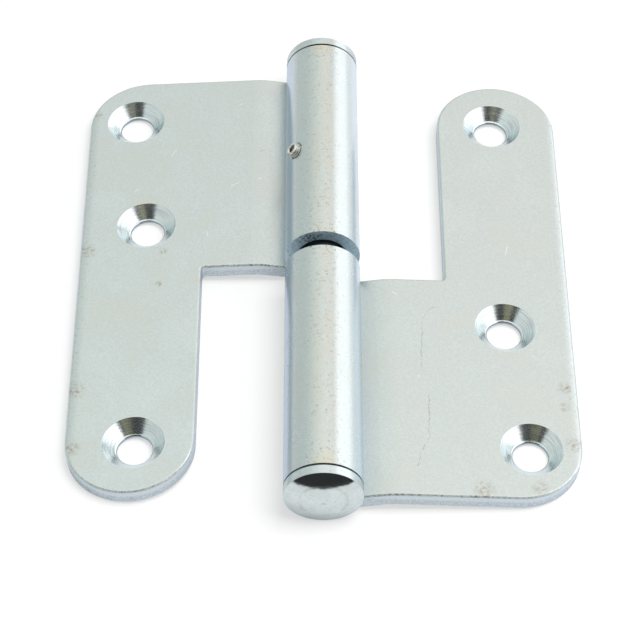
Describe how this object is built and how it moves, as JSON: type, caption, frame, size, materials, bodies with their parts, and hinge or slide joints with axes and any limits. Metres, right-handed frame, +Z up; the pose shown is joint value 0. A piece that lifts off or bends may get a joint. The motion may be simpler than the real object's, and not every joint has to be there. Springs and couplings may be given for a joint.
{
  "type": "lift off hinge",
  "caption": "Lift-off door hinge of zinc-plated sheet steel: leaves with rolled knuckles on a pin, countersunk screw holes, domed end plugs and a lock screw.",
  "frame": {"origin": "under the middle of the barrel, on the surface that the open hinge lies on", "axes": "+X across the leaves towards the lower half's leaf, +Y along the pin towards the half that lifts off, +Z up out of the countersunk faces"},
  "size_m": [0.0984, 0.1176, 0.015],
  "materials": {
    "leaf_zinc": "satin bright zinc plate on rolled sheet steel",
    "plug_zinc": "bright zinc plate on turned steel",
    "pin_steel": "plain ground steel, darkened with oil",
    "screw_steel": "zinc-plated hardened steel"
  },
  "bodies": {
    "lower_half": {"lower_leaf": "leaf_zinc", "pin": "pin_steel", "lower_plug": "plug_zinc"},
    "upper_cap": {"upper_plug": "plug_zinc"},
    "upper_half": {"upper_leaf": "leaf_zinc"},
    "lock": {"lock_screw": "screw_steel"}
  },
  "joints": [
    {"name": "lift_off", "type": "slide", "parent": "lower_half", "child": "upper_cap", "axis": [0, 1, 0], "range_m": [0, 0.05]},
    {"name": "swing", "type": "hinge", "parent": "upper_cap", "child": "upper_half", "pos_m": [0, 0, 0.0075], "axis": [0, 1, 0], "range_deg": [-150, 186]},
    {"name": "lock_screw_in", "type": "slide", "parent": "upper_half", "child": "lock", "axis": [0.7448, 0, -0.6673], "range_m": [0, 0.001]}
  ]
}
